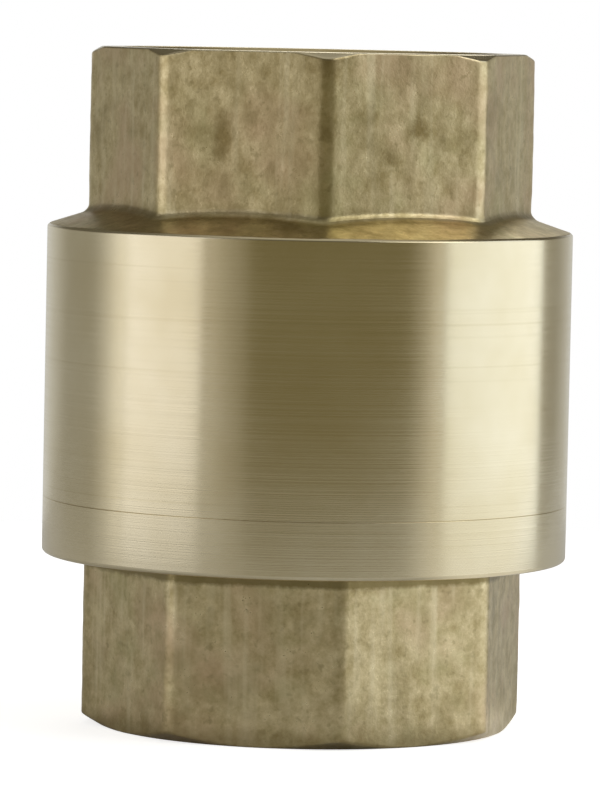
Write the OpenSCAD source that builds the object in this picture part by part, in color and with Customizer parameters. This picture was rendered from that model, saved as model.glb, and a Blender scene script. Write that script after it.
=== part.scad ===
// In-line spring check valve in forged and turned brass, with a female pipe thread at each end.
// The end connector below screws into the body above, and its raised seat stands inside the drum.
// A soft-faced disc rests on the seat. Flow from below lifts it along +Z against the return spring,
// and its stem slides in a guide that is held in the body above it.
// The sizes build up from the waterway outwards and from the inlet face upwards, in millimetres.
// The inlet face lies on the plane z = 0, centred on the Z axis.

/* [Wrench ends] */
// Wall between the pipe thread's root and the flats of the octagons
socket_wall = 3.6; // [2.8:0.1:5]
// Radius of the upright edges between the flats
flat_edge_r = 2.8; // [1:0.1:4]
// Height of the octagon on the inlet end
inlet_octagon_h = 22.6; // [19:0.2:30]
// Height of the octagon on the outlet end, from the shoulder to the end face
outlet_octagon_h = 21.4; // [19:0.2:30]
// How far the turned end face stops short of the flats
end_face_inset = 0.2; // [0:0.1:1]
// Slope of the turned chamfer across the octagon's corners
end_chamfer_angle = 30; // [15:1:40]
// Angle by which the end connector stands turned on its thread
connector_turn = 6; // [0:1:45]

/* [Drum] */
// Wall of the body round the joint thread
joint_wall = 4; // [3:0.1:8]
// Rise of the forged shoulder from the drum to the octagon
shoulder_h = 2.2; // [1:0.1:4]
// Size of the forged fillet at the foot of the outlet octagon
foot_fillet = 0.7; // [0.5:0.1:2]
// Chamfer on the lower rim of the drum
lower_rim_chamfer = 0.7; // [0.2:0.1:1.2]
// Chamfer on the upper rim of the drum
upper_rim_chamfer = 0.3; // [0.1:0.1:1]
// Thickness of the connector's flange, which ends the drum below
flange_t = 7.6; // [6:0.2:10]
// Chamfer on each side of the seam between flange and body
seam_chamfer = 0.15; // [0.1:0.05:0.6]

/* [Pipe sockets] */
// Diameter of both sockets at the root of the pipe thread
socket_d = 47.8; // [42:0.1:54]
// Length of the thread in each socket
socket_depth = 17; // [12:0.5:20]
// Width of the tool relief at the inner end of each thread
relief_w = 2.5; // [1.5:0.1:3.5]
// How much deeper than the thread the relief is cut
relief_depth = 0.4; // [0.3:0.05:0.6]
// Size of the chamfer at the mouth of each socket
mouth_chamfer = 1.2; // [0.5:0.1:1.6]
// Width of the step past the outlet's thread, inside which the waterway narrows
outlet_step = 2.4; // [1:0.1:4]

/* [Connector spigot] */
// How far the joint thread stands out past the chamber's wall
joint_thread_step = 0.5; // [0.3:0.1:1.5]
// Length of the spigot above the seam
spigot_h = 10; // [8:0.5:12]
// Wall of the spigot
spigot_wall = 3; // [2:0.1:4]
// Free length of the body's joint thread past the end of the spigot
thread_run_out = 1.2; // [0.5:0.1:2]
// Clearance on the radius between screwed pieces
thread_clearance = 0.05; // [0.02:0.01:0.1]
// Section diameter of the joint's o-ring
o_ring_section = 1.9; // [1.6:0.1:2.4]
// Clearance of the o-ring in its groove
o_ring_clearance = 0.05; // [0.02:0.01:0.1]

/* [Seat] */
// Diameter of the waterway through the seat
seat_bore_d = 38; // [32:0.5:45]
// Width of the raised seat lip
seat_lip_w = 2.4; // [1.6:0.1:4]
// Height of the seat lip above the floor of the spigot
seat_lip_h = 3.4; // [2:0.1:5]
// Thickness of the floor above the seam
spigot_floor = 0.8; // [0.4:0.1:2]
// Bevel on both edges of the seat lip
seat_bevel = 0.5; // [0.2:0.1:0.7]

/* [Disc] */
// How far the soft seal reaches past the seat lip
seal_overhang = 1.6; // [0.8:0.1:3]
// How far the disc reaches past its seal
disc_rim = 1; // [0.5:0.1:2]
// Width of the passage between the disc and the chamber's wall
passage_w = 6.5; // [5:0.1:9]
// Thickness of the disc
disc_t = 3.5; // [2.5:0.1:5]
// Height of the boss that centres the spring
disc_boss_h = 1.5; // [1:0.1:2.5]
// Thickness of the soft seal ring
seal_t = 3; // [2:0.1:4]
// Gap between the seat bore and the plate that clamps the seal
retainer_gap = 2.5; // [1.5:0.1:5]
// Thickness of the plate that clamps the seal
retainer_t = 2.5; // [1.5:0.1:4]
// Outer diameter of the lock washer
lock_washer_d = 14; // [11.5:0.1:16]
// Thickness of the lock washer
lock_washer_t = 1.6; // [1:0.1:2]
// Gap in the split lock washer
lock_washer_gap = 1.2; // [0.5:0.1:2]
// Distance across the flats of the retaining nut
nut_af = 13; // [10.8:0.1:16]
// Height of the retaining nut
nut_h = 5; // [4:0.1:6.5]

/* [Stem] */
// Diameter of the stem
stem_d = 8; // [6:0.1:9.5]
// How far the collar that bears on the disc stands out from the stem
collar_step = 2.2; // [1.5:0.1:3]
// Height of the collar
collar_h = 2.5; // [1.5:0.1:4]
// Length of the threaded tail that stands out of the nut
tail_end_h = 1.2; // [0.8:0.1:2]
// Length of the stem that stands above the guide when the valve is shut
stem_end_h = 2; // [1:0.1:4]
// Chamfer on both ends of the stem
stem_chamfer = 0.7; // [0.3:0.1:1]
// Clearance on the radius between the stem's tail and what is clamped on it
tail_clearance = 0.05; // [0.02:0.01:0.15]
// Travel of the disc from its seat to its stop
lift = 9.5; // [6:0.1:12]
// Clearance left between the collar and the guide bush when the valve is fully open
stop_clearance = 0.2; // [0.1:0.05:0.5]

/* [Guide] */
// Depth of the guide's ledge below the top of the drum
ledge_drop = 2.4; // [1:0.1:3]
// Step from the chamber's wall in to the guide's rim
guide_step = 2; // [1.5:0.1:3]
// Height of the guide's rim and arms
guide_rim_h = 4; // [3:0.1:5]
// Radial width of the guide's rim
guide_rim_w = 4.2; // [3:0.1:5.5]
// Number of arms
arm_count = 3; // [3:1:5]
// Width of each arm
arm_w = 4; // [3:0.1:5]
// Wall of the hub round its bush
hub_wall = 2; // [1.5:0.1:3]
// Length of the hub below the rim
hub_drop = 5.4; // [3:0.1:8]
// Height of the hub above the rim
hub_rise = 2; // [1:0.1:3]
// Thickness of the collar on the hub that the spring bears on
spring_seat_t = 2; // [1.5:0.1:3]
// Wall of the plain bush in the hub
bush_wall = 1.45; // [1:0.05:2]
// Running clearance on the radius between the stem and its bush
stem_clearance = 0.05; // [0.02:0.01:0.09]
// Clearance on the radius of the guide in the body and of the bush in the hub
seating_clearance = 0.03; // [0.01:0.01:0.06]
// Thickness of the retaining ring below the guide
circlip_t = 1.5; // [1:0.1:2]
// Radial width of the retaining ring
circlip_w = 3; // [2.5:0.1:4]
// Depth of the groove that holds the retaining ring
circlip_groove = 1.2; // [0.8:0.1:1.6]
// Diameter of the lugs on the ends of the retaining ring
circlip_lug_d = 4.6; // [4:0.1:5.6]
// Diameter of the plier holes in the lugs
circlip_hole_d = 2; // [1.5:0.1:2.5]
// Angle of the gap between the ends of the retaining ring
circlip_gap = 40; // [20:1:60]
// Clearance of the retaining ring in its groove
circlip_clearance = 0.05; // [0.02:0.01:0.1]

/* [Return spring] */
// Diameter of the spring wire
wire_d = 1.2; // [0.8:0.1:1.4]
// Gap between the hub and the inside of the coil
hub_spring_gap = 2; // [1:0.1:3]
// Gap between the disc's boss and the inside of the coil
boss_spring_gap = 0.5; // [0.2:0.1:0.8]
// How far the hub's collar reaches past the coil
spring_seat_margin = 1.3; // [0.5:0.1:2.5]
// Number of turns
coil_turns = 6.5; // [5:0.5:7.5]
// Number of closed turns at each end
closed_turns = 0.8; // [0.5:0.1:1]
// Clearance between the spring and what it bears on
spring_clearance = 0.04; // [0.02:0.01:0.1]

/* [Hidden] */
$fn = 96;

FLATS = 8;
NUT_FLATS = 6;
SPRING_SIDES = 8;
SPRING_STEPS_PER_TURN = 24;
// Length by which one shape reaches into another that it joins or cuts
OVERLAP = 1;
// Thickness of the slabs at the two ends of the foot's fillet
SLAB = 0.05;

forged_brass = [0.62, 0.55, 0.36];
turned_brass = [0.80, 0.74, 0.55];
black_rubber = [0.10, 0.10, 0.11];
steel = [0.70, 0.70, 0.71];
white_plastic = [0.88, 0.87, 0.83];

// Radii from the stem outwards to the spring
stem_r = stem_d / 2;
tail_hole_r = stem_r + tail_clearance;
bush_bore_r = stem_r + stem_clearance;
bush_r = bush_bore_r + bush_wall;
hub_bore_r = bush_r + seating_clearance;
hub_r = hub_bore_r + hub_wall;
coil_r = hub_r + hub_spring_gap + wire_d / 2;
disc_boss_r = coil_r - wire_d / 2 - boss_spring_gap;
spring_seat_r = coil_r + wire_d / 2 + spring_seat_margin;

// Radii from the seat bore outwards to the drum
seat_bore_r = seat_bore_d / 2;
seat_lip_r = seat_bore_r + seat_lip_w;
retainer_r = seat_bore_r - retainer_gap;
seal_r = seat_lip_r + seal_overhang;
disc_r = seal_r + disc_rim;
chamber_r = disc_r + passage_w;
joint_r = chamber_r + joint_thread_step;
spigot_cavity_r = joint_r - spigot_wall;
drum_r = joint_r + joint_wall;
o_ring_space = o_ring_section + 2 * o_ring_clearance;
guide_seat_r = chamber_r - guide_step;
guide_r = guide_seat_r - seating_clearance;
guide_rim_inner_r = guide_r - guide_rim_w;
circlip_groove_w = circlip_t + 2 * circlip_clearance;
circlip_r = guide_seat_r + circlip_groove - circlip_clearance;

// Radii of the pipe sockets and the octagons round them
socket_r = socket_d / 2;
relief_r = socket_r + relief_depth;
throat_r = socket_r - outlet_step;
flats_r = socket_r + socket_wall;
octagon_corner_r = (flats_r - flat_edge_r) / cos(180 / FLATS);
end_face_r = flats_r - end_face_inset;

// Heights along the flow axis, from the inlet face upwards
seam_z = inlet_octagon_h + flange_t;
spigot_top_z = seam_z + spigot_h;
spigot_floor_z = seam_z + spigot_floor;
seat_z = spigot_floor_z + seat_lip_h;
disc_z = seat_z + seal_t;
disc_top_z = disc_z + disc_t;
collar_z = disc_top_z + disc_boss_h;
collar_top_z = collar_z + collar_h;
retainer_z = seat_z - retainer_t;
lock_washer_z = retainer_z - lock_washer_t;
nut_z = lock_washer_z - nut_h;
hub_z = collar_top_z + lift + stop_clearance;
guide_z = hub_z + hub_drop;
ledge_z = guide_z + guide_rim_h;
hub_top_z = ledge_z + hub_rise;
stem_top_z = hub_top_z + stem_end_h;
drum_top_z = ledge_z + ledge_drop;
shoulder_top_z = drum_top_z + shoulder_h;
outlet_z = shoulder_top_z + outlet_octagon_h;
spring_h = guide_z - disc_top_z - 2 * spring_clearance;

// Outline of a wrench end: a regular octagon with rounded edges and one edge towards -Y
module octagon_outline(grow = 0) {
    hull() {
        for (i = [0 : FLATS - 1]) {
            rotate(i * 360 / FLATS - 90)
                translate([octagon_corner_r, 0])
                    circle(r = flat_edge_r + grow, $fn = 48);
        }
    }
}

// A wrench end between two heights, its corners turned off towards the end face.
// It stands upright from low_z, with its face at face_z above or below.
module wrench_end(low_z, face_z) {
    height = abs(face_z - low_z);
    reach_r = 2 * end_face_r;
    chamfer_drop = (reach_r - end_face_r) * tan(end_chamfer_angle);
    translate([0, 0, low_z])
        mirror([0, 0, face_z < low_z ? 1 : 0])
            intersection() {
                linear_extrude(height)
                    octagon_outline();
                rotate_extrude()
                    polygon([
                        [0, -OVERLAP],
                        [reach_r, -OVERLAP],
                        [reach_r, height - chamfer_drop],
                        [end_face_r, height],
                        [0, height]
                    ]);
            }
}

// Outline of a pipe socket that opens downwards at z = 0: mouth chamfer, thread wall and relief,
// then the waterway beyond it
function socket_outline(waterway) =
    concat(
        [
            [0, -OVERLAP],
            [socket_r + mouth_chamfer + OVERLAP, -OVERLAP],
            [socket_r, mouth_chamfer],
            [socket_r, socket_depth],
            [relief_r, socket_depth],
            [relief_r, socket_depth + relief_w]
        ],
        waterway
    );

module body() {
    color(forged_brass)
        difference() {
            union() {
                rotate_extrude()
                    polygon([
                        [0, seam_z],
                        [drum_r - seam_chamfer, seam_z],
                        [drum_r, seam_z + seam_chamfer],
                        [drum_r, drum_top_z - upper_rim_chamfer],
                        [drum_r - upper_rim_chamfer, drum_top_z],
                        [flats_r, shoulder_top_z],
                        [0, shoulder_top_z]
                    ]);
                wrench_end(drum_top_z, outlet_z);
                octagon_foot();
            }
            body_bore();
            outlet_bore();
        }
}

// Forged fillet round the foot of the outlet octagon
module octagon_foot() {
    hull() {
        translate([0, 0, shoulder_top_z - shoulder_h / 2])
            linear_extrude(SLAB)
                octagon_outline(foot_fillet);
        translate([0, 0, shoulder_top_z + foot_fillet - SLAB])
            linear_extrude(SLAB)
                octagon_outline();
    }
}

// Outlet socket and the throat below it, bored from the upper end
module outlet_bore() {
    ledge_depth = outlet_z - ledge_z;
    translate([0, 0, outlet_z])
        mirror([0, 0, 1])
            rotate_extrude()
                polygon(socket_outline([
                    [throat_r, socket_depth + relief_w],
                    [throat_r, ledge_depth + OVERLAP],
                    [0, ledge_depth + OVERLAP]
                ]));
}

// What is bored from the lower end of the body: o-ring groove, joint thread, chamber,
// retaining ring groove and the seat of the guide
module body_bore() {
    groove_top_z = guide_z + circlip_clearance;
    groove_low_z = groove_top_z - circlip_groove_w;
    chamber_low_z = spigot_top_z + thread_run_out;
    chamber_top_z = groove_low_z - circlip_t;
    rotate_extrude()
        polygon([
            [0, seam_z - OVERLAP],
            [joint_r + o_ring_space, seam_z - OVERLAP],
            [joint_r + o_ring_space, seam_z + o_ring_space],
            [joint_r + thread_clearance, seam_z + o_ring_space],
            [joint_r + thread_clearance, chamber_low_z],
            [chamber_r, chamber_low_z],
            [chamber_r, chamber_top_z - guide_step],
            [guide_seat_r, chamber_top_z],
            [guide_seat_r, groove_low_z],
            [guide_seat_r + circlip_groove, groove_low_z],
            [guide_seat_r + circlip_groove, groove_top_z],
            [guide_seat_r, groove_top_z],
            [guide_seat_r, ledge_z],
            [0, ledge_z]
        ]);
}

module end_connector() {
    rotate([0, 0, connector_turn])
        color(forged_brass)
            difference() {
                union() {
                    wrench_end(inlet_octagon_h + OVERLAP, 0);
                    flange_and_spigot();
                }
                inlet_bore();
                spigot_cavity();
            }
}

// Turned upper part of the connector: flange of the drum and threaded spigot
module flange_and_spigot() {
    rotate_extrude()
        polygon([
            [0, inlet_octagon_h],
            [drum_r - lower_rim_chamfer, inlet_octagon_h],
            [drum_r, inlet_octagon_h + lower_rim_chamfer],
            [drum_r, seam_z - seam_chamfer],
            [drum_r - seam_chamfer, seam_z],
            [joint_r, seam_z],
            [joint_r, spigot_top_z - seat_bevel],
            [joint_r - seat_bevel, spigot_top_z],
            [0, spigot_top_z]
        ]);
}

// Inlet socket, the cone beyond it and the waterway through the bevelled seat
module inlet_bore() {
    cone_z = socket_depth + relief_w;
    cone_h = abs(relief_r - seat_bore_r);
    rotate_extrude()
        polygon(socket_outline([
            [seat_bore_r, cone_z + cone_h],
            [seat_bore_r, seat_z - seat_bevel],
            [seat_bore_r + seat_bevel + OVERLAP, seat_z + OVERLAP],
            [0, seat_z + OVERLAP]
        ]));
}

// Space inside the spigot, which leaves the seat lip standing
module spigot_cavity() {
    rotate_extrude()
        polygon([
            [0, seat_z],
            [seat_lip_r - seat_bevel, seat_z],
            [seat_lip_r, seat_z - seat_bevel],
            [seat_lip_r, spigot_floor_z],
            [spigot_cavity_r, spigot_floor_z],
            [spigot_cavity_r, spigot_top_z + OVERLAP],
            [0, spigot_top_z + OVERLAP]
        ]);
}

module body_o_ring() {
    section_r = o_ring_section / 2;
    color(black_rubber)
        translate([0, 0, seam_z + o_ring_clearance + section_r])
            rotate_extrude()
                translate([joint_r + o_ring_clearance + section_r, 0])
                    circle(r = section_r, $fn = 32);
}

// A turned ring that stands on low_z, with a chamfer on both outer edges
module turned_ring(outer_r, hole_r, low_z, height, chamfer) {
    translate([0, 0, low_z])
        rotate_extrude()
            polygon([
                [hole_r, 0],
                [outer_r - chamfer, 0],
                [outer_r, chamfer],
                [outer_r, height - chamfer],
                [outer_r - chamfer, height],
                [hole_r, height]
            ]);
}

module valve_disc() {
    edge_chamfer = 0.6;
    color(turned_brass)
        union() {
            turned_ring(disc_r, tail_hole_r, disc_z, disc_t, edge_chamfer);
            turned_ring(disc_boss_r, tail_hole_r, disc_z, disc_t + disc_boss_h, edge_chamfer);
        }
}

module seal_ring() {
    edge_chamfer = 0.2;
    color(black_rubber)
        turned_ring(seal_r, tail_hole_r, seat_z, seal_t, edge_chamfer);
}

module seal_retainer() {
    edge_chamfer = 0.4;
    color(turned_brass)
        turned_ring(retainer_r, tail_hole_r, retainer_z, retainer_t, edge_chamfer);
}

module lock_washer() {
    edge_chamfer = 0.1;
    color(steel)
        difference() {
            turned_ring(lock_washer_d / 2, tail_hole_r, lock_washer_z, lock_washer_t, edge_chamfer);
            translate([0, -lock_washer_gap / 2, lock_washer_z - OVERLAP])
                cube([lock_washer_d, lock_washer_gap, lock_washer_t + 2 * OVERLAP]);
        }
}

module retaining_nut() {
    nut_chamfer_angle = 30;
    face_inset = 0.2;
    corner_r = nut_af / 2 / cos(180 / NUT_FLATS);
    face_r = nut_af / 2 - face_inset;
    corner_drop = (corner_r - face_r) * tan(nut_chamfer_angle);
    color(steel)
        translate([0, 0, nut_z])
            difference() {
                intersection() {
                    cylinder(r = corner_r, h = nut_h, $fn = NUT_FLATS);
                    rotate_extrude()
                        polygon([
                            [0, 0],
                            [face_r, 0],
                            [corner_r, corner_drop],
                            [corner_r, nut_h],
                            [0, nut_h]
                        ]);
                }
                translate([0, 0, -OVERLAP])
                    cylinder(r = tail_hole_r, h = nut_h + 2 * OVERLAP);
            }
}

module valve_stem() {
    tail_z = nut_z - tail_end_h;
    color(steel)
        rotate_extrude()
            polygon([
                [0, tail_z],
                [stem_r - stem_chamfer, tail_z],
                [stem_r, tail_z + stem_chamfer],
                [stem_r, collar_z],
                [stem_r + collar_step, collar_z],
                [stem_r + collar_step, collar_top_z],
                [stem_r, collar_top_z],
                [stem_r, stem_top_z - stem_chamfer],
                [stem_r - stem_chamfer, stem_top_z],
                [0, stem_top_z]
            ]);
}

// Height of the wire's centre after a number of turns from the lower end.
// The end turns are closed and the turns between them share what height is left.
function coil_z(turn) =
    let(
        closed_rise = closed_turns * wire_d,
        open_turns = coil_turns - 2 * closed_turns,
        open_rise = spring_h - wire_d - 2 * closed_rise,
        from_end = min(turn, coil_turns - turn)
    )
    from_end < closed_turns
        ? (turn < coil_turns / 2 ? turn * wire_d : spring_h - wire_d - from_end * wire_d)
        : closed_rise + (turn - closed_turns) / open_turns * open_rise;

module return_spring() {
    steps = round(coil_turns * SPRING_STEPS_PER_TURN);
    points = [
        for (i = [0 : steps])
            let(turn = i * coil_turns / steps)
                for (j = [0 : SPRING_SIDES - 1])
                    let(
                        side = j * 360 / SPRING_SIDES,
                        r = coil_r + wire_d / 2 * cos(side)
                    )
                    [
                        r * cos(360 * turn),
                        r * sin(360 * turn),
                        coil_z(turn) + wire_d / 2 * (1 + sin(side))
                    ]
    ];
    side_faces = [
        for (i = [0 : steps - 1], j = [0 : SPRING_SIDES - 1])
            let(
                next = (j + 1) % SPRING_SIDES,
                low = i * SPRING_SIDES,
                high = low + SPRING_SIDES
            )
            [low + j, high + j, high + next, low + next]
    ];
    first_face = [for (j = [0 : SPRING_SIDES - 1]) j];
    last_face = [for (j = [SPRING_SIDES - 1 : -1 : 0]) steps * SPRING_SIDES + j];
    color(steel)
        translate([0, 0, disc_top_z + spring_clearance])
            polyhedron(points = points, faces = concat(side_faces, [first_face, last_face]), convexity = 10);
}

module outlet_guide() {
    color(turned_brass)
        difference() {
            union() {
                rotate_extrude()
                    polygon([
                        [guide_rim_inner_r, guide_z],
                        [guide_r, guide_z],
                        [guide_r, ledge_z],
                        [guide_rim_inner_r, ledge_z]
                    ]);
                rotate_extrude()
                    polygon([
                        [0, hub_z],
                        [hub_r, hub_z],
                        [hub_r, guide_z],
                        [spring_seat_r, guide_z],
                        [spring_seat_r, guide_z + spring_seat_t],
                        [hub_r, guide_z + spring_seat_t],
                        [hub_r, hub_top_z],
                        [0, hub_top_z]
                    ]);
                for (i = [0 : arm_count - 1]) {
                    rotate([0, 0, i * 360 / arm_count + 90])
                        guide_arm();
                }
            }
            translate([0, 0, hub_z - OVERLAP])
                cylinder(r = hub_bore_r, h = hub_top_z - hub_z + 2 * OVERLAP);
        }
}

// One arm from the hub out to the rim, its top edge falling towards the rim inside the throat
module guide_arm() {
    root_z = ledge_z + hub_rise / 2;
    slope_end_r = min(throat_r, guide_rim_inner_r) - OVERLAP;
    tip_r = guide_r - guide_rim_w / 2;
    translate([0, arm_w / 2, 0])
        rotate([90, 0, 0])
            linear_extrude(arm_w)
                polygon([
                    [bush_r, guide_z],
                    [tip_r, guide_z],
                    [tip_r, ledge_z],
                    [slope_end_r, ledge_z],
                    [hub_r, root_z],
                    [bush_r, root_z]
                ]);
}

module guide_bush() {
    end_chamfer = 0.3;
    color(white_plastic)
        turned_ring(bush_r, bush_bore_r, hub_z, hub_top_z - hub_z, end_chamfer);
}

module guide_circlip() {
    lug_r = circlip_lug_d / 2;
    lug_hole_r = circlip_hole_d / 2;
    inner_r = circlip_r - circlip_w;
    ends = [circlip_gap / 2, 360 - circlip_gap / 2];
    color(steel)
        translate([0, 0, guide_z - circlip_t])
            difference() {
                union() {
                    rotate([0, 0, circlip_gap / 2])
                        rotate_extrude(angle = 360 - circlip_gap)
                            polygon([
                                [inner_r, 0],
                                [circlip_r, 0],
                                [circlip_r, circlip_t],
                                [inner_r, circlip_t]
                            ]);
                    for (end = ends) {
                        rotate([0, 0, end])
                            translate([inner_r, 0, 0])
                                cylinder(r = lug_r, h = circlip_t);
                    }
                }
                for (end = ends) {
                    rotate([0, 0, end])
                        translate([inner_r, 0, -OVERLAP])
                            cylinder(r = lug_hole_r, h = circlip_t + 2 * OVERLAP);
                }
            }
}

body();
end_connector();
body_o_ring();
valve_disc();
seal_ring();
seal_retainer();
lock_washer();
retaining_nut();
valve_stem();
return_spring();
outlet_guide();
guide_bush();
guide_circlip();
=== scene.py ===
import math

import bmesh
import bpy
import numpy as np
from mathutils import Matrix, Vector, noise


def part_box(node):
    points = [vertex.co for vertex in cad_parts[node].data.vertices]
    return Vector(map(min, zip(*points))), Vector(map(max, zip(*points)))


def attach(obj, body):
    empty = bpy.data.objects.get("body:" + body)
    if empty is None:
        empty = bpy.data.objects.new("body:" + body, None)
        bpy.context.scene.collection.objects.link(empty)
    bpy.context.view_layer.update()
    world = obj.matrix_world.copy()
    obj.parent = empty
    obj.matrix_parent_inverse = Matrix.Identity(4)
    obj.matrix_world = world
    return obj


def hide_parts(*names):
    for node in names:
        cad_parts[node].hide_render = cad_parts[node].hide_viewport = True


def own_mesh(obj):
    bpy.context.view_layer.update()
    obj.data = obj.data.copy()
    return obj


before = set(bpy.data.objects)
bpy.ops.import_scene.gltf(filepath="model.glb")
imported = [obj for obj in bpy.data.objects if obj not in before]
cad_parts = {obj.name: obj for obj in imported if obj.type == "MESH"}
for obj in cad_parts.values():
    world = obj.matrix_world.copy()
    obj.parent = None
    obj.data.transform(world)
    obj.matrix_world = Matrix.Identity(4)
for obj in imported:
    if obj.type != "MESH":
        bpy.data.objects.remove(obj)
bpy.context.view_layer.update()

# Valve stem: a ground stainless rod with a turned collar and a threaded tail. Disc, seal and
# plate are threaded onto the tail and clamped against the collar, and the upper end slides
# in the guide's bush.
MM = 0.001
EASE_STEPS = 4


def round_angles(count=160):
    """Evenly spaced angles round the valve's axis."""
    return np.arange(count) * 2 * math.pi / count


def corner(r, z, ease=0.15, cuts=1, finish=0):
    """One corner of a turned section, in millimetres. cuts divides the side that follows it."""
    return {"r": r, "z": z, "ease": ease, "cuts": cuts, "finish": finish}


def section_rows(corners, angles, closed):
    """Rows of (radius, height) over the angles, with every corner eased into a small curve."""
    places = [np.stack([c["r"] + 0 * angles, c["z"] + 0 * angles], 1) for c in corners]
    count = len(corners)
    rows = []
    finishes = []

    def add(row, finish):
        rows.append(row)
        finishes.append(finish)

    for i, c in enumerate(corners):
        here = places[i]
        ends = not closed and i in (0, count - 1)
        if ends or c["ease"] == 0:
            add(here, c["finish"])
            leaving = here
        else:
            before = places[i - 1] - here
            after = places[(i + 1) % count] - here
            room = np.minimum(np.hypot(*before.T), np.hypot(*after.T))
            reach = np.minimum(c["ease"], 0.45 * room)[:, None]
            start = here + before / np.hypot(*before.T)[:, None] * reach
            leaving = here + after / np.hypot(*after.T)[:, None] * reach
            for step in range(EASE_STEPS + 1):
                t = step / EASE_STEPS
                row = (1 - t) ** 2 * start + 2 * t * (1 - t) * here + t * t * leaving
                before_finish = corners[i - 1]["finish"]
                add(row, before_finish if t < 0.5 else c["finish"])
        if c["cuts"] > 1:
            following = corners[(i + 1) % count]
            target = places[(i + 1) % count]
            way = target - leaving
            length = np.hypot(*way.T)[:, None]
            stop = target - way / length * np.minimum(following["ease"], 0.45 * length)
            for cut in range(1, c["cuts"]):
                add(leaving + (stop - leaving) * cut / c["cuts"], c["finish"])
    return rows, finishes


def set_even_normals(mesh):
    """Gives each point the mean direction of its faces by area, so flat faces shade flat."""
    count = len(mesh.vertices)
    normals = np.zeros((count, 3))
    for face in mesh.polygons:
        normals[list(face.vertices)] += np.array(face.normal) * face.area
    lengths = np.linalg.norm(normals, axis=1)
    normals[lengths > 0] /= lengths[lengths > 0][:, None]
    mesh.shade_smooth()
    mesh.normals_split_custom_set_from_vertices(normals)


def add_piece(name, points, faces, finishes=None):
    """A new piece from points in millimetres, with its faces turned outwards."""
    mesh = bpy.data.meshes.new(name)
    mesh.from_pydata([tuple(p) for p in np.asarray(points) * MM], [], faces)
    if finishes is not None:
        mesh.polygons.foreach_set("material_index", finishes)
    form = bmesh.new()
    form.from_mesh(mesh)
    bmesh.ops.remove_doubles(form, verts=form.verts, dist=1e-7)
    bmesh.ops.recalc_face_normals(form, faces=form.faces)
    form.to_mesh(mesh)
    form.free()
    set_even_normals(mesh)
    piece = bpy.data.objects.new(name, mesh)
    bpy.context.scene.collection.objects.link(piece)
    return piece


def turned_shell(corners, angles=None, closed=True, shape=None):
    """Points, faces and finishes of a section turned round the axis. shape may move the points."""
    angles = round_angles() if angles is None else angles
    rows, row_finishes = section_rows(corners, angles, closed)
    turns = len(angles)
    points = np.concatenate([
        np.stack([row[:, 0] * np.cos(angles), row[:, 0] * np.sin(angles), row[:, 1]], 1)
        for row in rows
    ])
    if shape:
        points = shape(points.reshape(len(rows), turns, 3), row_finishes).reshape(-1, 3)
    faces = []
    finishes = []
    for i in range(len(rows) if closed else len(rows) - 1):
        low = i * turns
        high = (i + 1) % len(rows) * turns
        for j in range(turns):
            k = (j + 1) % turns
            faces.append((low + j, low + k, high + k, high + j))
            finishes.append(row_finishes[i])
    return points, faces, finishes


def turned_piece(name, corners, *details, **more):
    """A piece turned round the valve's axis."""
    return add_piece(name, *turned_shell(corners, *details, **more))


class Value:
    """A number carried by a shader socket: arithmetic on it adds Math nodes."""

    def __init__(self, finish, socket):
        self.finish = finish
        self.socket = socket

    def __add__(self, other):
        return self.finish.math("ADD", self, other)

    def __sub__(self, other):
        return self.finish.math("SUBTRACT", self, other)

    def __rsub__(self, other):
        return self.finish.math("SUBTRACT", other, self)

    def __mul__(self, other):
        return self.finish.math("MULTIPLY", self, other)

    def __pow__(self, other):
        return self.finish.math("POWER", self, other)

    __radd__ = __add__
    __rmul__ = __mul__


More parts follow.
